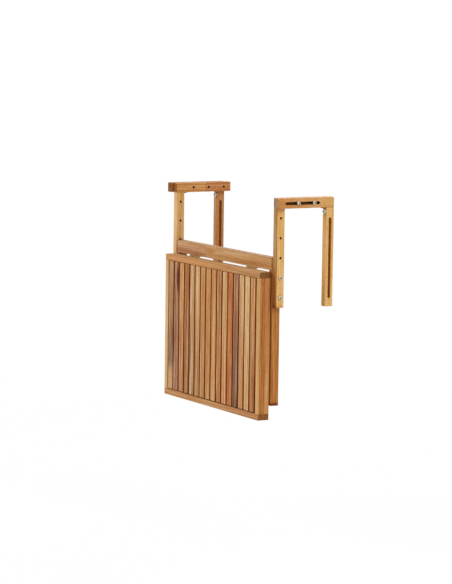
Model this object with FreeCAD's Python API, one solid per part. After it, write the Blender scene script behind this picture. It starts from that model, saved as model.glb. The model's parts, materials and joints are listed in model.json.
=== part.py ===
import FreeCAD, Part
import math
import os

# A folding acacia table that hangs on a balcony railing, folded down.
# X runs along the railing, Y points out over it and Z is up. The origin is the middle of the railing's
# top edge on the balcony side: the arm pads rest at Z = 0 and the front legs end at Y = 0.

V = FreeCAD.Vector

# Tabletop
top_width = 600.0
top_depth = 450.0
top_thickness = 38.0
frame_width = 19.0
slat_count = 16
slat_gap = 6.0
slat_head_gap = 0.8
slat_foot_gap = 2.4
slat_thickness = 15.0
batten_width = 40.0
batten_thickness = 10.0
batten_housing = 5.0

# Hooks
bar_width = 22.0
bar_depth = 27.0
leg_length = 300.0
arm_height = 30.0
arm_length = 195.0
arm_gap = 0.5
arm_lead = 10.0
leg_side_gap = 5.0
height_hole_count = 5
height_hole_pitch = 60.0
height_hole_margin = 30.0
height_setting = 3
arm_hole_first = 60.0
arm_hole_pitch = 55.0
arm_hole_count = 3
arm_bolt_count = 2
arm_slot_start = 25.0
arm_slot_length = 120.0
leg_slot_top = 30.0
leg_slot_bottom = 25.0
slot_width = 9.5
pad_radius = 4.5
pad_height = 2.5
pad_from_leg = 9.0

# Hanging frame
rail_height = 38.5
stile_length = 410.5
bolt_below_rail = 20.5
back_gap = 3.0

# Hinges
hinge_gap = 3.5
hinge_length = 62.0
hinge_centre = 180.0
leaf_width = 18.0
leaf_thickness = 1.5
knuckle_count = 5
knuckle_gap = 0.4
knuckle_clearance = 0.35
hinge_pin_radius = 1.1
leaf_screw_spacing = 22.0

# Swing stay
stay_drop = 142.0
stay_length = 255.0
stay_arm_width = 18.0
stay_arm_depth = 22.0
stay_side_gap = 3.0
stay_bar_radius = 9.0
stay_bar_housing = 10.0
stay_seat_depth = 3.0
stay_seat_side_gap = 0.9
stay_seat_clearance = 0.3
pivot_radius = 4.0
pivot_depth = 14.0

# Fasteners
bolt_radius = 3.0
bolt_hole_radius = 4.0
bolt_head_radius = 6.5
bolt_head_height = 4.0
tie_screw_head_radius = 9.0
tie_screw_head_height = 3.0
tie_screw_drop = 13.0
tie_screw_length = 23.0
button_rounding = 0.6
hex_socket_radius = 3.0
hex_socket_depth = 2.4
insert_radius = 5.0
insert_length = 13.0
wood_screw_radius = 2.0
wood_screw_head_radius = 3.8
wood_screw_head_depth = 2.2
wood_screw_bite = 9.0
leaf_screw_radius = 1.5
leaf_screw_head_radius = 2.8
leaf_screw_length = 14.0

# Joinery and clearances
tenon_thickness = 8.0
tenon_length = 18.0
tenon_shoulder = 4.0
frame_tenon_length = 12.0
joint_clearance = 0.1
running_clearance = 0.05
body_clearance = 0.3
board_rounding = 1.8
slat_rounding = 1.6
arm_rounding = 2.2

# Levels and faces that follow from the sizes above
arm_underside = pad_height
arm_top = arm_underside + arm_height
leg_foot = arm_underside - leg_length
leg_front = -bar_depth
leg_centre = -bar_depth / 2
half_width = top_width / 2
leg_inner = half_width + leg_side_gap
leg_outer = leg_inner + bar_width
hook_inner = leg_outer + arm_gap
hook_outer = hook_inner + bar_width
first_height_hole = arm_underside - height_hole_margin
height_holes = [first_height_hole - height_hole_pitch * k for k in range(height_hole_count)]
frame_bolts = height_holes[height_setting:height_setting + 2]
rail_underside = frame_bolts[0] + bolt_below_rail
rail_top = rail_underside + rail_height
stile_inner = leg_inner - bar_width
stile_foot = rail_underside - stile_length
panel_top = rail_underside - hinge_gap
panel_foot = panel_top - top_depth
panel_back = leg_front - back_gap
panel_front = panel_back - top_thickness
slat_back = panel_front + slat_thickness
batten_back = slat_back + batten_thickness
inner_half = half_width - frame_width
slat_width = (2 * inner_half - slat_gap * (slat_count + 1)) / slat_count
slat_span = (panel_foot + frame_width + slat_foot_gap, panel_top - frame_width - slat_head_gap)
arm_holes = [leg_front + arm_hole_first + arm_hole_pitch * k for k in range(arm_hole_count)]
hook_front = leg_front - arm_lead
hook_back = hook_front + arm_length
rear_leg_front = hook_back - bar_depth
rear_leg_centre = hook_back - bar_depth / 2
hinge_y = panel_back + back_gap / 2
hinge_z = panel_top + hinge_gap / 2
knuckle_radius = math.hypot(back_gap / 2, hinge_gap / 2) - knuckle_clearance
knuckle_length = (hinge_length - knuckle_gap * (knuckle_count - 1)) / knuckle_count
sides = {"left": -1, "right": 1}

# The stay hangs from its pivots and swings up until its bar seats in the groove of the middle batten.
stay_outer = inner_half - stay_side_gap
stay_inner = stay_outer - stay_arm_width
stay_y = leg_centre
stay_pivot_z = hinge_z - stay_drop
stay_seat_y = batten_back - stay_seat_depth
stay_raised_z = hinge_z + (hinge_y - stay_seat_y) - stay_bar_radius - stay_seat_clearance
stay_rise = stay_raised_z - stay_pivot_z
stay_reach = math.sqrt(stay_length ** 2 - stay_rise ** 2)
stay_seat_z = hinge_z - (hinge_y - (stay_y - stay_reach))
stay_turn = 90.0 + math.degrees(math.asin(stay_rise / stay_length))
batten_levels = {
    "batten_hinge_side": panel_top - frame_width - batten_width / 2,
    "batten_stay": stay_seat_z,
    "batten_front_side": panel_foot + frame_width + batten_width / 2,
}


def block(x, y, z, rounding=0.0):
    """A board between two corners, with its edges eased."""
    size = [abs(pair[1] - pair[0]) for pair in (x, y, z)]
    body = Part.makeBox(size[0], size[1], size[2], V(min(x), min(y), min(z)))
    if rounding > 0:
        body = body.makeFillet(min(rounding, min(size) / 3), body.Edges)
    return body


def rod(start, direction, length, radius):
    return Part.makeCylinder(radius, length, start, direction)


def across(side, near, far):
    """The X range of something that lies between two distances from the middle, on one side."""
    return (side * near, side * far)


def fused(first, others):
    return first.multiFuse(others).removeSplitter()


def grown(box, amount):
    """The same ranges, wider by a clearance on every side."""
    return [(min(pair) - amount, max(pair) + amount) for pair in box]


def slot_along_y(side, near, far, centre_z, y_range):
    """A round-ended slot through an arm, from one side face to the other."""
    radius = slot_width / 2
    through = grown([across(side, near, far)], body_clearance)[0]
    ends = [y_range[0] + radius, y_range[1] - radius]
    middle = block(through, ends, (centre_z - radius, centre_z + radius))
    start = min(through)
    length = abs(through[1] - through[0])
    return middle.multiFuse([rod(V(start, y, centre_z), V(1, 0, 0), length, radius) for y in ends])


def slot_along_z(side, near, far, centre_y, z_range):
    """A round-ended slot through a leg, from one side face to the other."""
    radius = slot_width / 2
    through = grown([across(side, near, far)], body_clearance)[0]
    ends = [z_range[0] + radius, z_range[1] - radius]
    middle = block(through, (centre_y - radius, centre_y + radius), ends)
    start = min(through)
    length = abs(through[1] - through[0])
    return middle.multiFuse([rod(V(start, centre_y, z), V(1, 0, 0), length, radius) for z in ends])


def bolt(origin, outward, head_radius, head_height, length, shank_radius):
    """A button-headed bolt with a hex socket; outward is the way its head faces."""
    head = Part.makeCylinder(head_radius, head_height)
    rim = [edge for edge in head.Edges if edge.BoundBox.ZMin > head_height / 2]
    head = head.makeFillet(head_height * button_rounding, rim[:1])
    shank = rod(V(0, 0, 0), V(0, 0, -1), length, shank_radius)
    corners = [V(hex_socket_radius * math.cos(math.radians(60 * k)),
                 hex_socket_radius * math.sin(math.radians(60 * k)), head_height) for k in range(7)]
    socket = Part.Face(Part.makePolygon(corners)).extrude(V(0, 0, -hex_socket_depth))
    body = head.cut(socket).fuse(shank).removeSplitter()
    body.Placement = FreeCAD.Placement(origin, FreeCAD.Rotation(V(0, 0, 1), outward))
    return body


def flat_screw(origin, outward, head_radius, head_depth, radius, length, slack=0.0):
    """A countersunk screw with its head flush at the origin; with slack it is the hole for that screw."""
    inward = outward * -1
    head = Part.makeCone(head_radius + slack, radius + slack, head_depth, origin, inward)
    return head.fuse(rod(origin, inward, length + slack, radius + slack)).removeSplitter()


def save(name, shape):
    shape.exportStep(os.path.join("parts", name + ".step"))


def arm_screw_points(side):
    """Where the bolts through one arm cross its inner face."""
    return [V(side * leg_outer, y, arm_underside + arm_height / 2) for y in arm_holes]


def tenon(side, near, far, y, z):
    """A tenon in the middle of a bar's end, thinner than the bar and shouldered front and back."""
    middle = side * (near + far) / 2
    return [(middle - tenon_thickness / 2, middle + tenon_thickness / 2),
            (min(y) + tenon_shoulder, max(y) - tenon_shoulder), z]


def tenon_span(shoulder_z):
    """A tenon and its root, as far above the shoulder as below it."""
    return (shoulder_z - tenon_length, shoulder_z + tenon_length)


def insert_hole(start, direction):
    """A bolt's hole through a bar, widened at its start for a threaded sleeve."""
    wide = rod(start, direction, insert_length + joint_clearance, insert_radius + running_clearance)
    return rod(start, direction, bar_width, bolt_hole_radius).fuse(wide)


def make_front_leg(side):
    y = (leg_front, 0.0)
    leg = block(across(side, leg_inner, leg_outer), y, (leg_foot, arm_underside), board_rounding)
    joint = tenon(side, leg_inner, leg_outer, y, tenon_span(arm_underside))
    leg = fused(leg, [block(*joint)])
    for z in height_holes:
        leg = leg.cut(rod(V(side * leg_inner, leg_centre, z), V(side, 0, 0), bar_width, bolt_hole_radius))
    return leg


def make_inner_arm(side):
    y = (leg_front, leg_front + arm_length)
    arm = block(across(side, leg_inner, leg_outer), y, (arm_underside, arm_top), arm_rounding)
    joint = tenon(side, leg_inner, leg_outer, (leg_front, 0.0), tenon_span(arm_underside))
    arm = arm.cut(block(*grown(joint, joint_clearance)))
    for point in arm_screw_points(side):
        arm = arm.cut(insert_hole(point, V(-side, 0, 0)))
    return arm


def make_outer_arm(side):
    y = (hook_front, hook_back)
    arm = block(across(side, hook_inner, hook_outer), y, (arm_underside, arm_top), arm_rounding)
    slot_start = hook_front + arm_slot_start
    slot = slot_along_y(side, hook_inner, hook_outer, arm_underside + arm_height / 2,
                        (slot_start, slot_start + arm_slot_length))
    joint = tenon(side, hook_inner, hook_outer, (rear_leg_front, hook_back), tenon_span(arm_underside))
    return arm.cut(slot).cut(block(*grown(joint, joint_clearance)))


def tie_screw_point(side):
    return V(side * (hook_inner + hook_outer) / 2, rear_leg_front, arm_underside - tie_screw_drop)


def make_rear_leg(side):
    y = (rear_leg_front, hook_back)
    leg = block(across(side, hook_inner, hook_outer), y, (leg_foot, arm_underside), board_rounding)
    joint = tenon(side, hook_inner, hook_outer, y, tenon_span(arm_underside))
    leg = fused(leg, [block(*joint)])
    leg = leg.cut(slot_along_z(side, hook_inner, hook_outer, rear_leg_centre,
                               (leg_foot + leg_slot_bottom, arm_underside - leg_slot_top)))
    hole = rod(tie_screw_point(side), V(0, 1, 0), tie_screw_length + running_clearance,
               bolt_radius + running_clearance)
    return leg.cut(hole)


def make_pad(side, near, far, y):
    start = V(side * (near + far) / 2, y, arm_underside - pad_height)
    return rod(start, V(0, 0, 1), pad_height, pad_radius)


def make_rail():
    rail = block((-leg_inner, leg_inner), (leg_front, 0.0), (rail_underside, rail_top), arm_rounding)
    for side in sides.values():
        joint = tenon(side, stile_inner, leg_inner, (leg_front, 0.0), tenon_span(rail_underside))
        rail = rail.cut(block(*grown(joint, joint_clearance)))
    for screw in rail_leaf_screw_points():
        rail = rail.cut(leaf_screw(screw, V(0, 0, -1), running_clearance))
    return rail


def make_stile(side):
    y = (leg_front, 0.0)
    stile = block(across(side, stile_inner, leg_inner), y, (stile_foot, rail_underside), board_rounding)
    joint = tenon(side, stile_inner, leg_inner, y, tenon_span(rail_underside))
    stile = fused(stile, [block(*joint)])
    for z in frame_bolts:
        stile = stile.cut(insert_hole(V(side * leg_inner, leg_centre, z), V(-side, 0, 0)))
    mouth = V(side * stile_inner, stay_y, stay_pivot_z)
    bore_depth = pivot_depth + joint_clearance
    return stile.cut(rod(mouth, V(side, 0, 0), bore_depth, pivot_radius + running_clearance))


def make_insert(start, direction):
    """A threaded sleeve pressed into the wood behind a bolt."""
    sleeve = rod(start, direction, insert_length, insert_radius)
    return sleeve.cut(rod(start, direction, insert_length, bolt_radius + running_clearance))


def make_inserts():
    inserts = []
    for side in sides.values():
        inward = V(-side, 0, 0)
        inserts += [make_insert(point, inward) for point in arm_screw_points(side)]
        inserts += [make_insert(V(side * leg_inner, leg_centre, z), inward) for z in frame_bolts]
    return Part.makeCompound(inserts)


def make_arm_bolts():
    grip = hook_outer - leg_outer + body_clearance
    bolts = []
    for side in sides.values():
        for point in arm_screw_points(side)[:arm_bolt_count]:
            head = point + V(side * grip, 0, 0)
            bolts.append(bolt(head, V(side, 0, 0), bolt_head_radius, bolt_head_height, grip + insert_length,
                              bolt_radius))
    return Part.makeCompound(bolts)


def make_frame_bolts():
    bolts = []
    for side in sides.values():
        for z in frame_bolts:
            head = V(side * leg_outer, leg_centre, z)
            bolts.append(bolt(head, V(side, 0, 0), bolt_head_radius, bolt_head_height,
                              bar_width + insert_length, bolt_radius))
    return Part.makeCompound(bolts)


def hinge_starts():
    return [centre - hinge_length / 2 for centre in (-hinge_centre, hinge_centre)]


def knuckle_spans(start, first):
    """Every other knuckle of a hinge, as X ranges, counted from its first or second."""
    step = knuckle_length + knuckle_gap
    return [(start + step * k, start + step * k + knuckle_length) for k in range(first, knuckle_count, 2)]


def make_leaf(start, first, plate, tab, bore_radius):
    """A hinge leaf: its plate, and a tab and a bored knuckle for each of its own knuckles."""
    pieces = []
    for span in knuckle_spans(start, first):
        pieces.append(block(span, *tab))
        pieces.append(rod(V(span[0], hinge_y, hinge_z), V(1, 0, 0), knuckle_length, knuckle_radius))
    leaf = fused(block((start, start + hinge_length), *plate), pieces)
    return leaf.cut(rod(V(start, hinge_y, hinge_z), V(1, 0, 0), hinge_length, bore_radius))


def leaf_reach():
    """How far a leaf's plate starts from the hinge line, clear of the other leaf's knuckles."""
    return knuckle_radius + body_clearance


def make_rail_leaves():
    z = (rail_underside - leaf_thickness, rail_underside)
    plate = ((hinge_y + leaf_reach(), hinge_y + leaf_width), z)
    tab = ((hinge_y, hinge_y + leaf_reach()), z)
    leaves = [make_leaf(start, 0, plate, tab, hinge_pin_radius) for start in hinge_starts()]
    holes = [leaf_screw(point, V(0, 0, -1), running_clearance) for point in rail_leaf_screw_points()]
    return Part.makeCompound([leaf.cut(Part.makeCompound(holes)) for leaf in leaves])


def make_top_leaves():
    y = (panel_back, panel_back + leaf_thickness)
    plate = (y, (hinge_z - leaf_width, hinge_z - leaf_reach()))
    tab = (y, (hinge_z - leaf_reach(), hinge_z))
    bore_radius = hinge_pin_radius + running_clearance
    leaves = [make_leaf(start, 1, plate, tab, bore_radius) for start in hinge_starts()]
    holes = [leaf_screw(point, V(0, 1, 0), running_clearance) for point in top_leaf_screw_points()]
    return Part.makeCompound([leaf.cut(Part.makeCompound(holes)) for leaf in leaves])


def make_hinge_pins():
    return Part.makeCompound([rod(V(start, hinge_y, hinge_z), V(1, 0, 0), hinge_length, hinge_pin_radius)
                              for start in hinge_starts()])


def leaf_screw_row():
    """The X places of the screws in both hinges: three in each."""
    return [centre + leaf_screw_spacing * k for centre in (-hinge_centre, hinge_centre) for k in (-1, 0, 1)]


def leaf_screw_line():
    """How far the screws stand from the hinge line: the middle of a leaf's plate."""
    return (leaf_reach() + leaf_width) / 2


def rail_leaf_screw_points():
    return [V(x, hinge_y + leaf_screw_line(), rail_underside - leaf_thickness) for x in leaf_screw_row()]


def top_leaf_screw_points():
    return [V(x, panel_back + leaf_thickness, hinge_z - leaf_screw_line()) for x in leaf_screw_row()]


def leaf_screw(point, outward, slack=0.0):
    return flat_screw(point, outward, leaf_screw_head_radius, leaf_thickness, leaf_screw_radius,
                      leaf_screw_length, slack)


def make_leaf_screws(points, outward):
    return Part.makeCompound([leaf_screw(point, outward) for point in points])


def side_tenon(side, z):
    """The tenon of a tabletop side into the rail above or below it."""
    middle = side * (half_width - frame_width / 2)
    return [(middle - tenon_thickness / 2, middle + tenon_thickness / 2),
            (panel_front + frame_tenon_length, panel_back - frame_tenon_length), z]


def make_top_rail(z, joint_z):
    rail = block((-half_width, half_width), (panel_front, panel_back), z, board_rounding)
    for side in sides.values():
        rail = rail.cut(block(*grown(side_tenon(side, joint_z), joint_clearance)))
    return rail


def make_top_rail_hinge_side():
    edge = panel_top - frame_width
    rail = make_top_rail((edge, panel_top), (edge, edge + frame_tenon_length))
    holes = [leaf_screw(point, V(0, 1, 0), running_clearance) for point in top_leaf_screw_points()]
    return rail.cut(Part.makeCompound(holes))


def make_top_rail_front_side():
    edge = panel_foot + frame_width
    return make_top_rail((panel_foot, edge), (edge - frame_tenon_length, edge))


def housed_batten(name):
    """The ranges of a batten that is let into both sides of the tabletop's frame."""
    level = batten_levels[name]
    reach = inner_half + batten_housing
    return [(-reach, reach), (slat_back, batten_back), (level - batten_width / 2, level + batten_width / 2)]


def make_top_side(side):
    z = (panel_foot + frame_width, panel_top - frame_width)
    board = block(across(side, inner_half, half_width), (panel_front, panel_back), z, board_rounding)
    tenons = [block(*side_tenon(side, (end - frame_tenon_length, end + frame_tenon_length))) for end in z]
    board = fused(board, tenons)
    for name in ("batten_hinge_side", "batten_front_side"):
        board = board.cut(block(*grown(housed_batten(name), joint_clearance)))
    return board


def slat_centre(index):
    return -inner_half + slat_gap + slat_width / 2 + index * (slat_width + slat_gap)


def make_slat(index):
    x = (slat_centre(index) - slat_width / 2, slat_centre(index) + slat_width / 2)
    slat = block(x, (panel_front, slat_back), slat_span, slat_rounding)
    return slat.cut(Part.makeCompound([slat_screw(index, name, running_clearance) for name in batten_levels]))


def slat_screw(index, name, slack=0.0):
    """The screw from a batten into a slat, beside the groove where the batten has one."""
    beside = (stay_bar_radius + batten_width / 2) / 2 if name == "batten_stay" else 0.0
    point = V(slat_centre(index), batten_back, batten_levels[name] + beside)
    return flat_screw(point, V(0, 1, 0), wood_screw_head_radius, wood_screw_head_depth, wood_screw_radius,
                      batten_thickness + wood_screw_bite, slack)


def make_slat_screws():
    return Part.makeCompound([slat_screw(k, name) for name in batten_levels for k in range(slat_count)])


def make_batten(name):
    ranges = housed_batten(name)
    if name == "batten_stay":
        reach = stay_inner - stay_side_gap
        ranges[0] = (-reach, reach)
    batten = block(*ranges)
    if name == "batten_stay":
        half_seat = stay_bar_radius + stay_seat_side_gap
        seat_z = (stay_seat_z - half_seat, stay_seat_z + half_seat)
        batten = batten.cut(block(ranges[0], (stay_seat_y, batten_back), seat_z))
    return batten.cut(Part.makeCompound([slat_screw(k, name, running_clearance) for k in range(slat_count)]))


def make_stay_arm(side):
    """A round-ended arm, bored at its top for the pivot and at its foot for the cross bar."""
    foot = stay_pivot_z - stay_length
    radius = stay_arm_depth / 2
    outward = V(side, 0, 0)
    pivot_mouth = V(side * stay_inner, stay_y, stay_pivot_z)
    bar_mouth = V(side * stay_inner, stay_y, foot)
    y = (stay_y - radius, stay_y + radius)
    arm = block(across(side, stay_inner, stay_outer), y, (foot, stay_pivot_z))
    arm = fused(arm, [rod(mouth, outward, stay_arm_width, radius) for mouth in (pivot_mouth, bar_mouth)])
    pivot_bore = rod(pivot_mouth, outward, stay_arm_width, pivot_radius + running_clearance)
    housing = rod(bar_mouth, outward, stay_bar_housing + joint_clearance, stay_bar_radius + running_clearance)
    return arm.cut(pivot_bore).cut(housing)


def make_stay_bar():
    reach = stay_inner + stay_bar_housing
    return rod(V(-reach, stay_y, stay_pivot_z - stay_length), V(1, 0, 0), 2 * reach, stay_bar_radius)


def make_stay_pivots():
    """Shoulder bolts on which the stay swings, screwed into the stiles."""
    length = stile_inner + pivot_depth - stay_inner + body_clearance
    pivots = []
    for side in sides.values():
        head = V(side * (stay_inner - body_clearance), stay_y, stay_pivot_z)
        pivots.append(bolt(head, V(-side, 0, 0), bolt_head_radius, bolt_head_height, length, pivot_radius))
    return Part.makeCompound(pivots)


def make_stay_spacers():
    spacers = []
    thickness = stile_inner - stay_outer - body_clearance
    for side in sides.values():
        start = V(side * stile_inner, stay_y, stay_pivot_z)
        ring = rod(start, V(-side, 0, 0), thickness, bolt_head_radius)
        spacers.append(ring.cut(rod(start, V(-side, 0, 0), thickness, pivot_radius + running_clearance)))
    return Part.makeCompound(spacers)


def main():
    os.makedirs("parts", exist_ok=True)
    for word, side in sides.items():
        save("front_leg_" + word, make_front_leg(side))
        save("inner_arm_" + word, make_inner_arm(side))
        save("outer_arm_" + word, make_outer_arm(side))
        save("rear_leg_" + word, make_rear_leg(side))
        save("tie_screw_" + word, bolt(tie_screw_point(side), V(0, -1, 0), tie_screw_head_radius,
                                       tie_screw_head_height, tie_screw_length, bolt_radius))
        save("rear_pad_" + word, make_pad(side, hook_inner, hook_outer, rear_leg_front - pad_from_leg))
        save("front_pad_" + word, make_pad(side, leg_inner, leg_outer, pad_from_leg))
        save("stile_" + word, make_stile(side))
        save("tabletop_side_" + word, make_top_side(side))
        save("stay_arm_" + word, make_stay_arm(side))
    save("hanging_rail", make_rail())
    save("insert_nuts", make_inserts())
    save("arm_bolts", make_arm_bolts())
    save("frame_bolts", make_frame_bolts())
    save("rail_hinge_leaves", make_rail_leaves())
    save("tabletop_hinge_leaves", make_top_leaves())
    save("hinge_pins", make_hinge_pins())
    save("rail_hinge_screws", make_leaf_screws(rail_leaf_screw_points(), V(0, 0, -1)))
    save("tabletop_hinge_screws", make_leaf_screws(top_leaf_screw_points(), V(0, 1, 0)))
    save("tabletop_rail_hinge_side", make_top_rail_hinge_side())
    save("tabletop_rail_front_side", make_top_rail_front_side())
    for index in range(slat_count):
        save("slat_%02d" % (index + 1), make_slat(index))
    for name in batten_levels:
        save(name, make_batten(name))
    save("slat_screws", make_slat_screws())
    save("stay_bar", make_stay_bar())
    save("stay_pivots", make_stay_pivots())
    save("stay_spacers", make_stay_spacers())
    print("stay turns %.3f degrees as the top rises 90" % stay_turn)
    print("hinge line Y %.3f Z %.3f, stay pivot Y %.3f Z %.3f" % (hinge_y, hinge_z, stay_y, stay_pivot_z))


main()
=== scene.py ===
# %% [markdown]
# A folding balcony table in oiled acacia, hung from a railing by two hooks and folded down.
# The imported model is the fixed frame of this lesson: every board, bolt and hinge leaf is already in
# place and at its real size, so what is left is its surface. We keep the box of the model.

# %% Load the table
import json
import math

import bpy
from mathutils import Matrix, Vector


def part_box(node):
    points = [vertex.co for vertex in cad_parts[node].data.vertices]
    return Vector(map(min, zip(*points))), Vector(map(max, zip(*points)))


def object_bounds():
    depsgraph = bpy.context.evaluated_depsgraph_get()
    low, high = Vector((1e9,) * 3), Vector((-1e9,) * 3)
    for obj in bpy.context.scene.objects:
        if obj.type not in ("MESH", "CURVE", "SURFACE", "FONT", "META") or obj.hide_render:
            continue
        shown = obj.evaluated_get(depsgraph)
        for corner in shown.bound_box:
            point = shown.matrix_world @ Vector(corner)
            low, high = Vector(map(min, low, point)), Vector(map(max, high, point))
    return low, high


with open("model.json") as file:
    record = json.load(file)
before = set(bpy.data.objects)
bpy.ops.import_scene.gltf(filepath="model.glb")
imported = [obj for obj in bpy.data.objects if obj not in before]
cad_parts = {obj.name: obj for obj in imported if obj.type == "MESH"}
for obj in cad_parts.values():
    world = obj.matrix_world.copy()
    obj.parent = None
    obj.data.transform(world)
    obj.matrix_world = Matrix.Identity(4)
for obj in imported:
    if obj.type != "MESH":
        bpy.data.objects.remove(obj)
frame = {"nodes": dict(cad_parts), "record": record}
nodes = frame["nodes"]
cad_box = [list(corner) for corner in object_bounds()]
scene = bpy.context.scene
scene.view_settings.view_transform = "Standard"
print("pieces:", len(nodes), "box:", cad_box)

# %% [markdown]
# The camera stands far to the right of the table's front and a little above it, with a long lens, so
# that the slats look narrow and upright edges stay nearly parallel. We could place it by eye, but a
# camera is only a turn, a tilt, a roll and a distance, so it is built from those four and two small
# sideways steps.

# %% Camera
IMAGE_HEIGHT_PX = 584
FOCAL_PX = 2755.9
SENSOR_HEIGHT_MM = 36.0
TURN = math.radians(60.66)
TILT = math.radians(6.54)
ROLL = -0.0140
DISTANCE = 8.520
STEP_RIGHT = 0.0170
STEP_UP = 0.2829

toward_camera = Vector((math.sin(TURN) * math.cos(TILT),
                        -math.cos(TURN) * math.cos(TILT),
                        math.sin(TILT)))
level_right = Vector((math.cos(TURN), math.sin(TURN), 0))
level_up = toward_camera.cross(level_right)
camera_right = level_right * math.cos(ROLL) - level_up * math.sin(ROLL)
camera_up = level_right * math.sin(ROLL) + level_up * math.cos(ROLL)
place = toward_camera * DISTANCE - camera_right * STEP_RIGHT - camera_up * STEP_UP

lens = bpy.data.cameras.new("camera")
lens.sensor_fit = "VERTICAL"
lens.sensor_height = SENSOR_HEIGHT_MM
lens.lens = FOCAL_PX / IMAGE_HEIGHT_PX * SENSOR_HEIGHT_MM
camera = bpy.data.objects.new("camera", lens)
facing = Matrix((camera_right, camera_up, toward_camera)).transposed().to_4x4()
camera.matrix_world = Matrix.Translation(place) @ facing
scene.collection.objects.link(camera)
scene.camera = camera
print("camera at", [round(value, 3) for value in place], "lens", round(lens.lens, 1))

# %% [markdown]
# Every finish below is a small graph of shader nodes. One helper adds a node: its settings come by
# name, and its inputs are either plain values or the outputs of earlier nodes. A second helper turns
# the colours, which are written as the sRGB hex values that a paint chart uses, into the linear light
# that the renderer needs, and a third starts an empty material.

# %% Node and colour helpers
WHITE = "#ffffff"
# The Mix node has a set of sockets for each kind of data. These are the places of its colours.
FIRST_COLOUR = 6
SECOND_COLOUR = 7
MIXED_COLOUR = 2


def add(tree, kind, inputs=None, **settings):
    """Adds one shader node, sets it up and links whatever outputs it is given."""
    made = tree.nodes.new("ShaderNode" + kind)
    for key, value in settings.items():
        setattr(made, key, value)
    for key, value in (inputs or {}).items():
        if isinstance(value, bpy.types.NodeSocket):
            tree.links.new(value, made.inputs[key])
        else:
            made.inputs[key].default_value = value
    return made


def linear(hex_colour):
    """An sRGB hex colour as linear red, green, blue and alpha."""
    channels = [int(hex_colour[k:k + 2], 16) / 255 for k in (1, 3, 5)]
    curve = [c / 12.92 if c <= 0.04045 else ((c + 0.055) / 1.055) ** 2.4 for c in channels]
    return (*curve, 1.0)


def new_material(name):
    """An empty material: its node tree and its main shader."""
    made = bpy.data.materials.new(name)
    made.use_nodes = True
    return made, made.node_tree, made.node_tree.nodes["Principled BSDF"]


print("white is", linear(WHITE))

# %% [markdown]
# The studio is a white room, and its floor has to look white without throwing more light on the wood.
# Stronger lamps would wash out the tones of the boards. So the white is shown to the camera and to
# reflections only, and adds no light. Around the table the floor keeps a little of its own shade, so
# that the soft shadow stays.

# %% White floor
FLOOR_TONE = "#f4f4f4"
FLOOR_ROUGHNESS = 0.9
FLOOR_HEIGHT = -1.0
FLOOR_SIZE = 60.0
SHADOW_GLOW = 0.93
SHADOW_REACH = (0.9, 3.0)


def seen_directly(tree):
    """One where the camera, a reflection or a clear material looks, and nought for bounced light."""
    path = add(tree, "LightPath")
    mirrored = add(tree, "Math", {0: path.outputs["Is Camera Ray"], 1: path.outputs["Is Glossy Ray"]},
                   operation="MAXIMUM")
    return add(tree, "Math", {0: mirrored.outputs[0], 1: path.outputs["Is Transmission Ray"]},
               operation="MAXIMUM").outputs[0]


half = FLOOR_SIZE / 2
corners = [(-half, -half), (half, -half), (half, half), (-half, half)]
floor_mesh = bpy.data.meshes.new("floor")
floor_mesh.from_pydata([(x, y, FLOOR_HEIGHT) for x, y in corners], [], [(0, 1, 2, 3)])
floor = bpy.data.objects.new("floor", floor_mesh)
scene.collection.objects.link(floor)

paint, tree, shader = new_material("white_floor_paint")
shader.inputs["Base Color"].default_value = linear(FLOOR_TONE)
shader.inputs["Roughness"].default_value = FLOOR_ROUGHNESS
glow = add(tree, "Emission", {"Color": linear(WHITE), "Strength": 1.0})
from_table = add(tree, "VectorMath", {0: add(tree, "TexCoord").outputs["Object"]}, operation="LENGTH")
near, far = [math.hypot(FLOOR_HEIGHT, reach) for reach in SHADOW_REACH]
whiteness = add(tree, "MapRange", {"Value": from_table.outputs["Value"], "From Min": near,
                                   "From Max": far, "To Min": SHADOW_GLOW, "To Max": 1.0})
share = add(tree, "Math", {0: seen_directly(tree), 1: whiteness.outputs[0]}, operation="MULTIPLY")
blended = add(tree, "MixShader", {0: share.outputs[0], 1: shader.outputs[0], 2: glow.outputs[0]})
tree.links.new(blended.outputs[0], tree.nodes["Material Output"].inputs["Surface"])
floor_mesh.materials.append(paint)
print("floor at", FLOOR_HEIGHT, "m, plain white from", SHADOW_REACH[1], "m out")

# %% [markdown]
# Lamps alone would leave hard shadows between the slats, and a white sky alone would make the table
# look flat, so the two share the work: an even sky and four large soft lamps. Their sum is kept near
# one, so that a tone looks as it is written.

# %% Sky and lamps
SKY_STRENGTH = 0.42
TABLE_MIDDLE = (Vector(cad_box[0]) + Vector(cad_box[1])) / 2
LAMPS = {
    "key_lamp": dict(place=(-2.0, -3.0, 1.9), size=2.0, power=87),
    "side_lamp": dict(place=(3.4, 0.5, 1.9), size=2.0, power=73),
    "top_lamp": dict(place=(-0.4, 0.4, 3.0), size=2.4, power=20),
    "back_lamp": dict(place=(-2.2, 3.0, 1.2), size=2.2, power=40),
}

world = bpy.data.worlds.new("white_sky")
world.use_nodes = True
scene.world = world
sky_tree = world.node_tree
strength = add(sky_tree, "MapRange", {"Value": seen_directly(sky_tree), "To Min": SKY_STRENGTH,
                                      "To Max": 1.0})
sky = sky_tree.nodes["Background"]
sky.inputs["Color"].default_value = linear(WHITE)
sky_tree.links.new(strength.outputs[0], sky.inputs["Strength"])


def soft_lamp(name, place, size, power):
    """A large square lamp that faces the middle of the table."""
    light = bpy.data.lights.new(name, "AREA")
    light.size = size
    light.energy = power
    lamp = bpy.data.objects.new(name, light)
    lamp.location = place
    lamp.rotation_euler = (TABLE_MIDDLE - Vector(place)).to_track_quat("-Z", "Y").to_euler()
    scene.collection.objects.link(lamp)


for name, setting in LAMPS.items():
    soft_lamp(name, **setting)

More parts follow.
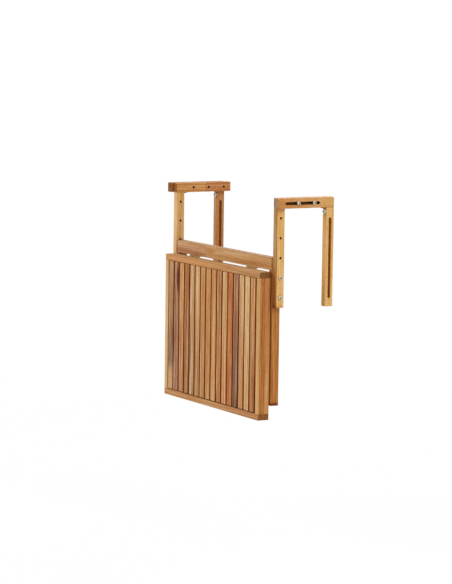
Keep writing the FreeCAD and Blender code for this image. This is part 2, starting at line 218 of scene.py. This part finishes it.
# %% [markdown]
# Acacia is sold as small boards, so each board of the table comes from another part of a trunk and no
# two are alike. A picture of wood would repeat, and would stretch over the board ends. Instead each
# board is cut, in the shader, from a trunk of its own: the pith lies somewhere beside the board, and
# all patterns are drawn out along the grain. The end grain then comes by itself.

# %% A board's place in its trunk
MM = 1000.0
AXES = "XYZ"
GRAIN_STRETCH = 22.0
PITH_NEAREST_MM = (31.0, 24.0)
PITH_STEP_MM = (17.0, 13.0)
PITH_PLACES = (5, 7)
NEXT_BOARD_MM = 90.0


def trunk_places(tree, coordinates, node, grain, seed):
    """Places in the trunk, in millimetres, shortened along the grain so that patterns grow long."""
    low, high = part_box(node)
    along = AXES.index(grain)
    stretch = [MM, MM, MM]
    stretch[along] = MM / GRAIN_STRETCH
    beside_pith = [nearest + step * (seed % places)
                   for nearest, step, places in zip(PITH_NEAREST_MM, PITH_STEP_MM, PITH_PLACES)]
    start = [NEXT_BOARD_MM * seed if k == along else beside_pith[k % 2] for k in range(3)]
    shift = [start[k] - (low[k] + high[k]) / 2 * stretch[k] for k in range(3)]
    return add(tree, "Mapping", {"Vector": coordinates.outputs["Object"], "Scale": stretch,
                                 "Location": shift}).outputs[0]


print("patterns are drawn out", GRAIN_STRETCH, "times along the grain")

# %% [markdown]
# A planed board shows its growth rings as long streaks and its pores as short dark dashes. One pattern
# cannot give both, so there are four: rings that start soft and end hard, broad streaks, fibres and
# pores. The rings and streaks wander a little, as a trunk does. Real fibres and pores are finer than
# these, but finer ones would not show.

# %% Rings, streaks, fibres and pores
RING_MM = 6.5
RING_DISTORTION = 1.2
# The wave node multiplies its scale by this.
WAVE_NODE_FACTOR = 20
WANDER_MM = 42.0
WANDER_BY_MM = 30.0
STREAK_MM = 8.0
FIBRE_MM = 2.6
FIBRE_ROUGHNESS = 0.65
PORE_MM = 1.3
PORE_STRETCH = 3.0
CONTRAST = {"rings": (0.4, 1.0), "streaks": (0.34, 0.68), "fibres": (0.42, 0.72), "pores": (0.62, 0.72)}


def growth(tree, trunk, grain):
    """Masks of one trunk: dense late wood at the end of each ring, broad streaks, fibres and pores."""
    wander = add(tree, "TexNoise", {"Vector": trunk, "Scale": 1 / WANDER_MM, "Detail": 2.0})
    centred = add(tree, "VectorMath", {0: wander.outputs["Color"], 1: (0.5, 0.5, 0.5)},
                  operation="SUBTRACT")
    wandered = add(tree, "VectorMath", {0: centred.outputs[0], 1: [WANDER_BY_MM] * 3, 2: trunk},
                   operation="MULTIPLY_ADD").outputs[0]
    ring_scale = math.tau / WAVE_NODE_FACTOR / RING_MM
    pore_stretch = [PORE_STRETCH if axis == grain else 1.0 for axis in AXES]
    pore_places = add(tree, "VectorMath", {0: trunk, 1: pore_stretch}, operation="MULTIPLY").outputs[0]
    patterns = {
        "rings": add(tree, "TexWave", {"Vector": wandered, "Scale": ring_scale, "Detail": 2.0,
                                       "Distortion": RING_DISTORTION},
                     wave_type="RINGS", rings_direction=grain, wave_profile="SAW"),
        "streaks": add(tree, "TexNoise", {"Vector": wandered, "Scale": 1 / STREAK_MM, "Detail": 2.0}),
        "fibres": add(tree, "TexNoise", {"Vector": trunk, "Scale": 1 / FIBRE_MM, "Detail": 4.0,
                                         "Roughness": FIBRE_ROUGHNESS}),
        "pores": add(tree, "TexNoise", {"Vector": pore_places, "Scale": 1 / PORE_MM, "Detail": 1.0}),
    }
    masks = {}
    for kind, pattern in patterns.items():
        start, full = CONTRAST[kind]
        masks[kind] = add(tree, "MapRange", {"Value": pattern.outputs["Fac"], "From Min": start,
                                             "From Max": full}).outputs[0]
    return masks


print("a ring every", RING_MM, "mm, a streak every", STREAK_MM, "mm")

# %% [markdown]
# Two lengths glued end to end, and a board that runs from sapwood into heartwood, are one piece with
# two tones. A mask along one axis covers both: a slow one for the drift, and a sudden one with teeth
# for a finger joint, whose glue line is a little darker. The joint is drawn wider than the real one, or
# it would not show.

# %% Where a board changes its tone
FINGER_MM = 7.0
FINGER_DEPTH = 0.006
GLUE_WIDTH = 0.004


def tone_change(tree, places, axis, span, joint=False):
    """Nought before a span along an axis and one after it; teeth make it a glued finger joint."""
    across = AXES[(AXES.index(axis) + 1) % 3]
    along = places.outputs[axis]
    if joint:
        zigzag = add(tree, "Math", {0: places.outputs[across], 1: FINGER_MM / MM}, operation="PINGPONG")
        tooth = FINGER_DEPTH / (FINGER_MM / MM)
        along = add(tree, "Math", {0: zigzag.outputs[0], 1: tooth, 2: along},
                    operation="MULTIPLY_ADD").outputs[0]
    start, end = span
    return add(tree, "MapRange", {"Value": along, "From Min": start, "From Max": end},
               interpolation_type="SMOOTHSTEP").outputs[0]


print("glued ends have a tooth every", FINGER_MM, "mm")

# %% [markdown]
# Some boards also hold a dark tongue of heartwood, which has no straight edge. A plain oval would look
# like a stain. So its distance from the centre is frayed by the streaks of the board, and the tongue
# runs out along the grain.

# %% Dark tongues of heartwood
TONGUE_FRAY = 0.5
TONGUE_EDGE = (0.75, 0.25)


def heart_tongue(tree, coordinates, streaks, centre, reach):
    """A dark tongue of heartwood: one at its centre and nought at its reach, frayed along the grain."""
    offset = add(tree, "VectorMath", {0: coordinates.outputs["Object"], 1: centre}, operation="SUBTRACT")
    scaled = add(tree, "VectorMath", {0: offset.outputs[0], 1: reach}, operation="DIVIDE")
    distance = add(tree, "VectorMath", {0: scaled.outputs[0]}, operation="LENGTH")
    frayed = add(tree, "Math", {0: streaks, 1: -TONGUE_FRAY, 2: distance.outputs["Value"]},
                 operation="MULTIPLY_ADD")
    outside, inside = TONGUE_EDGE
    return add(tree, "MapRange", {"Value": frayed.outputs[0], "From Min": outside,
                                  "From Max": inside}).outputs[0]


print("a tongue fades between", TONGUE_EDGE[1], "and", TONGUE_EDGE[0], "of its reach")

# %% [markdown]
# Some places of a board are darker: its cut ends and the wood near them, and, as painted shade, the
# walls of its holes and slots and the faces of the slats that look into the gaps between them. Dark
# paint in those places would need a drawn map of the board. Its own box is enough: a wall that lies deep
# below all the faces of the box can only be the wall of a hole, and a face that looks along the grain is
# a cut end.

# %% Where a board is darker, and painted shade in its holes and gaps
BORE_FROM = 0.002
BORE_TO = 0.004
NEAR_END_DEPTH = 0.014
END_FACING = (0.75, 0.95)
SIDE_FACING = (0.4, 0.8)


def depths_below(tree, coordinates, node):
    """How deep a place lies below the nearer face of the board's box, along each axis."""
    low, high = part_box(node)
    offset = add(tree, "VectorMath", {0: coordinates.outputs["Object"], 1: (low + high) / 2},
                 operation="SUBTRACT")
    distance = add(tree, "VectorMath", {0: offset.outputs[0]}, operation="ABSOLUTE")
    depth = add(tree, "VectorMath", {0: (high - low) / 2, 1: distance.outputs[0]}, operation="SUBTRACT")
    return add(tree, "SeparateXYZ", {0: depth.outputs[0]}).outputs


def bore_mask(tree, depths):
    """One on walls deep inside a board's outline, such as those of its holes and slots."""
    nearest = add(tree, "Math", {0: depths["X"], 1: depths["Y"]}, operation="MINIMUM")
    nearest = add(tree, "Math", {0: nearest.outputs[0], 1: depths["Z"]}, operation="MINIMUM")
    return add(tree, "MapRange", {"Value": nearest.outputs[0], "From Min": BORE_FROM,
                                  "From Max": BORE_TO}).outputs[0]


def board_masks(tree, coordinates, node, grain):
    """Masks of a board's bores, of the wood near its ends, of its cut ends and of its faces along X."""
    depths = depths_below(tree, coordinates, node)
    near_end = add(tree, "MapRange", {"Value": depths[grain], "From Min": NEAR_END_DEPTH, "From Max": 0.0},
               interpolation_type="SMOOTHSTEP")
    masks = {"bore": bore_mask(tree, depths), "near_end": near_end.outputs[0]}
    normal = add(tree, "SeparateXYZ", {0: coordinates.outputs["Normal"]})
    for kind, axis, (start, full) in (("cut_end", grain, END_FACING), ("side", "X", SIDE_FACING)):
        facing = add(tree, "Math", {0: normal.outputs[axis]}, operation="ABSOLUTE")
        masks[kind] = add(tree, "MapRange", {"Value": facing.outputs[0], "From Min": start,
                                             "From Max": full}).outputs[0]
    return masks


print("bores turn dark between", BORE_FROM, "and", BORE_TO, "m below a face")

# %% [markdown]
# The boards differ more in hue than in grain, and the eye sorts them into a few kinds: straw, honey,
# rose, russet and a few dark ones. A colour for each board would be hard to keep in tune, so the tones
# are one short palette, and each board names its own. Along a board the tone may turn into others.

# %% Palette of the boards
TONES = {
    "cream": "#d3a871", "straw": "#c99a63", "wheat": "#bf915e", "gold": "#c99759", "maize": "#d6a764",
    "blush": "#c08e61", "honey": "#be8146", "caramel": "#c0874b", "tan": "#b57e48", "olive": "#b08352",
    "dun": "#a97a42", "rose": "#aa734d", "mauve": "#a26a47", "chestnut": "#b67540", "amber": "#b86d2f",
    "ginger": "#ae6e32", "rust": "#a6652f", "russet": "#9b5d2c", "umber": "#896040",
}
# A joint has its glue where the change of tone is halfway done.
GLUE_MIDDLE = 0.5


def board_tone(tree, coordinates, tone, turns):
    """The tone of a board, which may turn into others, and the masks of its glue lines."""
    places = add(tree, "SeparateXYZ", {0: coordinates.outputs["Object"]})
    colour = linear(TONES[tone])
    glue_lines = []
    for turn in turns:
        joint = turn.get("joint", False)
        turned = tone_change(tree, places, turn["axis"], turn["span"], joint)
        mixed = add(tree, "Mix", {0: turned, FIRST_COLOUR: colour,
                                  SECOND_COLOUR: linear(TONES[turn["to"]])}, data_type="RGBA")
        colour = mixed.outputs[MIXED_COLOUR]
        if joint:
            glue = add(tree, "Math", {0: turned, 1: GLUE_MIDDLE}, operation="PINGPONG")
            glue_lines.append(glue.outputs[0])
    return colour, glue_lines


print("tones:", len(TONES))

# %% [markdown]
# Dense wood lets light in deeper before it comes back, so it is not just darker but also redder, as if
# its tone had been multiplied by itself. One node does that: the tone is raised to a power, and the
# rings, streaks, fibres and pores only say how dense the wood is. The wood near the ends and the cut
# ends count as density too, and so does the painted shade on the slats' faces into the gaps. An oiled
# surface is not lacquered: it keeps little gloss, and hardly any on end grain.

# %% Oiled acacia
EARLY_WOOD = 0.50
DENSITY = {"rings": 0.42, "streaks": 0.52, "fibres": 0.38, "pores": 0.6}
HEART_DENSITY = 1.1
GLUE_DENSITY = 1.2
END_GRAIN = (0.25, 0.58)
# The tone of the painted shade on the walls of holes and slots.
BORE_SHADE_TONE = "#5a2c0c"
OIL_SPECULAR = 0.16
SATIN = (0.42, 0.60)
OPEN_GRAIN_DULLNESS = 0.35
PORE_DEPTH = 0.6
GRAIN_RELIEF = 0.0004
GRAIN_BUMP = 0.35


def oiled_acacia(node, grain, tone, turns=(), heart=0.0, tongues=(), end=END_GRAIN, bores=BORE_SHADE_TONE,
                 darker_ends=0.0, gap_shade=0.0, figure=1.0, seed=0):
    """Planed and oiled acacia for one board: satin, streaked along its grain and dark on its ends.

    turns lists the tones that follow, each with the axis and the span of its change and whether that
    is a joint. heart is how much dark heartwood runs through, and tongues lists the centre, reach and
    density of single dark tongues. end is how much denser and how light the end grain is, bores the
    tone of the painted shade in holes and slots, darker_ends how much denser the last few millimetres of
    the board are, gap_shade how much painted shade of the gaps darkens its faces along X, and figure how
    lively its grain is.
    """
    made, tree, shader = new_material("oiled_acacia_" + node)
    coordinates = add(tree, "TexCoord")
    grown = growth(tree, trunk_places(tree, coordinates, node, grain, seed), grain)
    marked = board_masks(tree, coordinates, node, grain)
    colour, glue_lines = board_tone(tree, coordinates, tone, turns)
    end_density, end_lightness = end

    # How dense the wood is: its growth, heartwood, ends and glue, and painted shade in the slat gaps.
    shares = [(grown[kind], amount * figure) for kind, amount in DENSITY.items()]
    shares += [(grown["streaks"], heart * HEART_DENSITY), (marked["cut_end"], end_density)]
    shares += [(marked["near_end"], darker_ends), (marked["side"], gap_shade)]
    for centre, reach, amount in tongues:
        shares.append((heart_tongue(tree, coordinates, grown["streaks"], centre, reach), amount))
    shares += [(line, GLUE_DENSITY) for line in glue_lines]
    density = 1.0 - figure * (1.0 - EARLY_WOOD)
    for mask, amount in shares:
        density = add(tree, "Math", {0: mask, 1: amount, 2: density},
                      operation="MULTIPLY_ADD").outputs[0]
    dense = add(tree, "Gamma", {"Color": colour, "Gamma": density})

    # End grain also scatters less light back, and the walls of holes and slots get a painted shade.
    kept = add(tree, "MapRange", {"Value": marked["cut_end"], "To Min": 1.0, "To Max": end_lightness})
    oiled = add(tree, "VectorMath", {0: dense.outputs[0], "Scale": kept.outputs[0]}, operation="SCALE")
    bore_shaded = add(tree, "Mix", {0: marked["bore"], FIRST_COLOUR: oiled.outputs[0],
                              SECOND_COLOUR: linear(bores)}, data_type="RGBA")
    tree.links.new(bore_shaded.outputs[MIXED_COLOUR], shader.inputs["Base Color"])

    # Satin where the planed wood is closed, dull where it is open, with the fibres a little raised.
    shader.inputs["Specular IOR Level"].default_value = OIL_SPECULAR
    gloss = add(tree, "MapRange", {"Value": grown["fibres"], "To Min": SATIN[0], "To Max": SATIN[1]})
    open_grain = add(tree, "Math", {0: marked["cut_end"], 1: marked["bore"]}, operation="MAXIMUM")
    dulled = add(tree, "Math", {0: open_grain.outputs[0], 1: OPEN_GRAIN_DULLNESS, 2: gloss.outputs[0]},
                 operation="MULTIPLY_ADD")
    tree.links.new(dulled.outputs[0], shader.inputs["Roughness"])
    raised = add(tree, "Math", {0: grown["pores"], 1: -PORE_DEPTH, 2: grown["fibres"]},
                 operation="MULTIPLY_ADD")
    bump = add(tree, "Bump", {"Height": raised.outputs[0], "Distance": GRAIN_RELIEF,
                              "Strength": GRAIN_BUMP})
    tree.links.new(bump.outputs[0], shader.inputs["Normal"])
    return made


print("densest growth:", round(EARLY_WOOD + sum(DENSITY.values()), 2))

# %% [markdown]
# The slats were picked from all kinds of boards, and each drifts from the tone of its head to that of
# its foot. Chance could mix them, but a given list can follow the real table. The first two hold a dark
# tongue of heartwood, and the first one ends in a pale foot.

# %% Slats
# Painted shade of the gaps between the slats, laid on their faces along X.
SLAT_GAP_SHADE = 0.95
DRIFT_FROM_END = 0.06
THROUGH = 1.0

# From left to right: the tone of the head, that of the foot, and the share of dark heartwood.
slats = [("olive", "umber", 0), ("rose", "mauve", 0.1), ("caramel", "tan", 0), ("rust", "russet", 0.1),
         ("wheat", "olive", 0), ("straw", "tan", 0), ("caramel", "tan", 0), ("caramel", "caramel", 0),
         ("caramel", "caramel", 0), ("tan", "chestnut", 0), ("straw", "honey", 0), ("amber", "amber", 0),
         ("rose", "umber", 0.2), ("straw", "honey", 0), ("cream", "straw", 0), ("caramel", "rust", 0)]
slat_tongues = {
    1: dict(beside=0.008, level=-0.45, half_width=0.006, half_length=0.07, amount=0.5),
    2: dict(beside=0.009, level=-0.268, half_width=0.008, half_length=0.045, amount=1.25),
}
pale_feet = {1: dict(to="wheat", axis="Z", span=(-0.520, -0.575))}


def tongue_of(node, beside, level, half_width, half_length, amount):
    """The centre, reach and density of a dark tongue that goes through a slat, beside its middle."""
    low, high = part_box(node)
    centre = ((low.x + high.x) / 2 + beside, low.y, level)
    return centre, (half_width, THROUGH, half_length), amount


def dress(node, material):
    """Gives a piece one finish all over."""
    slots = nodes[node].data.materials
    slots.clear()
    slots.append(material)


slat_low, slat_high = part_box("slat_01")
drift_span = (slat_high.z - DRIFT_FROM_END, slat_low.z + DRIFT_FROM_END)
for number, (head, foot, heart) in enumerate(slats, start=1):
    node = "slat_%02d" % number
    turns = [dict(to=foot, axis="Z", span=drift_span)]
    if number in pale_feet:
        turns.append(pale_feet[number])
    tongues = []
    if number in slat_tongues:
        tongues.append(tongue_of(node, **slat_tongues[number]))
    dress(node, oiled_acacia(node, "Z", head, turns, heart, tongues, gap_shade=SLAT_GAP_SHADE, seed=number))
print("slats dressed:", len(slats))

# %% [markdown]
# The boards of the frames and hooks are calmer than the slats. Some were cut near the bark and have a
# front skin of another tone. The hanging rail and the left inner arm are glued from two lengths with a
# finger joint, as is usual for acacia, and the upper edges of the two rails at the hinges turn olive.
# These could be pieces of their own, but a change of tone costs no shape.

# %% Changes of tone on the frames and hooks
RAIL_JOINT = -0.113
ARM_JOINT = 0.079
SKIN = 0.004
RIM_HEART = (0.016, 0.032)
TOP_EDGE_OLIVE = (0.0016, 0.0004)
RAIL_EDGE_OLIVE = (0.006, 0.002)
# Place along the rail, height above its lower edge, and half the length of each dark tongue.
RAIL_TONGUES = ((-0.20, 0.008, 0.11), (-0.085, 0.022, 0.045), (0.06, 0.013, 0.15), (0.25, 0.012, 0.10))
RAIL_TONGUE_HEIGHT = 0.010
RAIL_TONGUE_DENSITY = 0.30

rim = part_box("tabletop_side_right")[0].y
rim_turns = [dict(to="rust", axis="Y", span=(rim + SKIN / 2, rim + SKIN)),
             dict(to="honey", axis="Y", span=(rim + RIM_HEART[0], rim + RIM_HEART[1]))]
top_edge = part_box("tabletop_rail_hinge_side")[1].z
top_turns = [dict(to="tan", axis="X", span=(-0.1, 0.2)),
             dict(to="olive", axis="Z", span=(top_edge - TOP_EDGE_OLIVE[0], top_edge - TOP_EDGE_OLIVE[1]))]
rail_low, rail_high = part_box("hanging_rail")
rail_turns = [dict(to="straw", axis="X", span=(RAIL_JOINT, RAIL_JOINT + GLUE_WIDTH), joint=True),
              dict(to="olive", axis="Z", span=(rail_high.z - RAIL_EDGE_OLIVE[0],
                                               rail_high.z - RAIL_EDGE_OLIVE[1]))]
rail_tongues = [((along, rail_low.y, rail_low.z + up), (length, THROUGH, RAIL_TONGUE_HEIGHT),
                 RAIL_TONGUE_DENSITY) for along, up, length in RAIL_TONGUES]
leg_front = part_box("front_leg_right")[0].y
leg_skin = (leg_front + SKIN / 4, leg_front + SKIN / 2)
left_leg_turns = [dict(to="gold", axis="Y", span=leg_skin)]
# Lower down, beside the tabletop, the right front leg turns rust: a painted shadow of the tabletop.
right_leg_shadow_and_skin = [dict(to="rust", axis="Z", span=(-0.16, -0.20)),
                   dict(to="maize", axis="Y", span=leg_skin)]
left_arm_turns = [dict(to="chestnut", axis="Y", span=(ARM_JOINT, ARM_JOINT + GLUE_WIDTH), joint=True)]
right_arm_turns = [dict(to="gold", axis="Y", span=(0.0, 0.12))]
print("rail joint at", RAIL_JOINT, "m, arm joint at", ARM_JOINT, "m")

# %% [markdown]
# What is left is a list: the way of each board's grain, its tone, and what else sets it apart. A
# function for each kind of board would say the same with more words. The rail, the stiles and the front
# legs are darker near their ends; at the ends of the rail, where it meets the front legs, this is
# painted shade.

# %% Boards of the frames and hooks
BOARD_FIGURE = 0.6
# A lighter painted shade for the slots of the rear legs.
SLOT_SHADE_TONE = "#b4702e"
boards = {
    "tabletop_side_left": dict(grain="Z", tone="cream"),
    "tabletop_side_right": dict(grain="Z", tone="gold", turns=rim_turns),
    "tabletop_rail_hinge_side": dict(grain="X", tone="honey", turns=top_turns, end=(0.2, 0.51)),
    "tabletop_rail_front_side": dict(grain="X", tone="tan"),
    # The darker ends of the hanging rail are painted shade where it meets the front legs.
    "hanging_rail": dict(grain="X", tone="blush", turns=rail_turns, tongues=rail_tongues, darker_ends=0.9),
    "stile_left": dict(grain="Z", tone="russet", darker_ends=1.2),
    "stile_right": dict(grain="Z", tone="ginger", darker_ends=1.2),
    "front_leg_left": dict(grain="Z", tone="cream", turns=left_leg_turns, darker_ends=0.3),
    "front_leg_right": dict(grain="Z", tone="dun", turns=right_leg_shadow_and_skin, darker_ends=0.3),
    "inner_arm_left": dict(grain="Y", tone="caramel", turns=left_arm_turns),
    "inner_arm_right": dict(grain="Y", tone="honey"),
    "outer_arm_left": dict(grain="Y", tone="russet", end=(-0.12, 0.53)),
    "outer_arm_right": dict(grain="Y", tone="honey", turns=right_arm_turns, end=(-0.43, 0.5)),
    "rear_leg_left": dict(grain="Z", tone="tan", bores=SLOT_SHADE_TONE),
    "rear_leg_right": dict(grain="Z", tone="maize", bores=SLOT_SHADE_TONE),
    "batten_hinge_side": dict(grain="X", tone="tan"),
    "batten_stay": dict(grain="X", tone="honey"),
    "batten_front_side": dict(grain="X", tone="chestnut"),
    "stay_arm_left": dict(grain="Z", tone="honey"),
    "stay_arm_right": dict(grain="Z", tone="tan"),
    "stay_bar": dict(grain="X", tone="straw"),
}
for number, (node, look) in enumerate(boards.items(), start=len(slats) + 1):
    dress(node, oiled_acacia(node, seed=number, figure=BOARD_FIGURE, **look))
print("boards dressed:", len(boards))

# %% [markdown]
# The bolts are stainless steel with rolled, tumbled heads: bright, a little blurred, with faint marks
# left by the tumbling. Their warm tint is a painted reflection of the wood around them. The hinges are
# steel with a thin brass plating that has gone slightly uneven, its tone darkened as painted shade. A
# metal shows what it reflects, so its gloss has to vary more than its colour. The hexagon sockets and
# the rims around the heads are darkened with painted shade. It could be painted there by hand, but a
# node that measures how shut in a place is finds them all. The tumbling marks are drawn coarser than
# real ones, or they would not show.

# %% Tumbled steel and brass plating
TUMBLE_MM = 1.8
PLATING_MM = 6.0
WORN_EDGE = (0.35, 0.65)
GLOSS_EDGE = (0.3, 0.7)
UNSHADED_EDGE = (0.3, 0.75)
CREVICE_SHADE_REACH = 0.003
CREVICE_SHADE_SAMPLES = 16
CREVICE_SHADE_TONE = "#2b1d10"
CREVICE_SHADE_ROUGHNESS = 0.9
MARK_RELIEF = 0.0001
MARK_BUMP = 0.15


def worn_metal(name, tone, worn, patch_mm, roughness):
    """A metal whose gloss varies in small patches, with painted shade in its corners."""
    made, tree, shader = new_material(name)
    coordinates = add(tree, "TexCoord")
    patches = add(tree, "TexNoise", {"Vector": coordinates.outputs["Object"], "Scale": MM / patch_mm,
                                     "Detail": 3.0}).outputs["Fac"]
    rubbed = add(tree, "MapRange", {"Value": patches, "From Min": WORN_EDGE[0],
                                    "From Max": WORN_EDGE[1]})
    metal = add(tree, "Mix", {0: rubbed.outputs[0], FIRST_COLOUR: linear(tone),
                              SECOND_COLOUR: linear(worn)}, data_type="RGBA")
    # Painted shade where the metal is shut in: in the hexagon sockets and around the heads.
    openness = add(tree, "AmbientOcclusion", {"Distance": CREVICE_SHADE_REACH}, samples=CREVICE_SHADE_SAMPLES)
    unshaded = add(tree, "MapRange", {"Value": openness.outputs["AO"], "From Min": UNSHADED_EDGE[0],
                                   "From Max": UNSHADED_EDGE[1]}).outputs[0]
    colour = add(tree, "Mix", {0: unshaded, FIRST_COLOUR: linear(CREVICE_SHADE_TONE),
                               SECOND_COLOUR: metal.outputs[MIXED_COLOUR]}, data_type="RGBA")
    tree.links.new(colour.outputs[MIXED_COLOUR], shader.inputs["Base Color"])
    tree.links.new(unshaded, shader.inputs["Metallic"])
    gloss = add(tree, "MapRange", {"Value": patches, "From Min": GLOSS_EDGE[0],
                                   "From Max": GLOSS_EDGE[1], "To Min": roughness[0],
                                   "To Max": roughness[1]})
    dulled = add(tree, "MapRange", {"Value": unshaded, "To Min": CREVICE_SHADE_ROUGHNESS,
                                    "To Max": gloss.outputs[0]})
    tree.links.new(dulled.outputs[0], shader.inputs["Roughness"])
    bump = add(tree, "Bump", {"Height": patches, "Distance": MARK_RELIEF, "Strength": MARK_BUMP})
    tree.links.new(bump.outputs[0], shader.inputs["Normal"])
    return made


# The steel's warm tint is a painted reflection of the wood around the bolts.
steel = worn_metal("tumbled_stainless_steel", "#cdc2ad", "#a29680", TUMBLE_MM, roughness=(0.16, 0.28))
# The brass tone is kept dark as painted shade, since the hinges sit in shade.
brass = worn_metal("brass_plated_steel", "#bb944c", "#a5803f", PLATING_MM, roughness=(0.26, 0.42))
print("metals:", steel.name, brass.name)

# %% [markdown]
# The pads under the arms are moulded rubber: black, matt and finely pitted by the mould. A plain black
# would look like a hole, so the pits are a little lighter than the skin. They are drawn coarser than
# real ones, or they would not show.

# %% Moulded rubber
PIT_MM = 0.7
RUBBER_TONE = "#2f2d2a"
PIT_TONE = "#4a4642"
RUBBER_ROUGHNESS = 0.8
PIT_RELIEF = 0.0002
PIT_BUMP = 0.4

rubber, tree, shader = new_material("moulded_rubber")
coordinates = add(tree, "TexCoord")
pits = add(tree, "TexNoise", {"Vector": coordinates.outputs["Object"], "Scale": MM / PIT_MM,
                              "Detail": 2.0}).outputs["Fac"]
colour = add(tree, "Mix", {0: pits, FIRST_COLOUR: linear(RUBBER_TONE), SECOND_COLOUR: linear(PIT_TONE)},
             data_type="RGBA")
tree.links.new(colour.outputs[MIXED_COLOUR], shader.inputs["Base Color"])
shader.inputs["Roughness"].default_value = RUBBER_ROUGHNESS
bump = add(tree, "Bump", {"Height": pits, "Distance": PIT_RELIEF, "Strength": PIT_BUMP})
tree.links.new(bump.outputs[0], shader.inputs["Normal"])
print("rubber:", rubber.name)

# %% [markdown]
# The record of the model names a material for each piece, so the fittings need no list of their own:
# each takes the finish that stands for its material.

# %% Fittings
finishes = {"stainless_steel": steel, "brassed_steel": brass, "rubber": rubber}
fittings = [piece for piece in frame["record"]["subparts"] if piece["material_slot"] in finishes]
for piece in fittings:
    dress(piece["node"], finishes[piece["material_slot"]])
print("fittings dressed:", len(fittings))
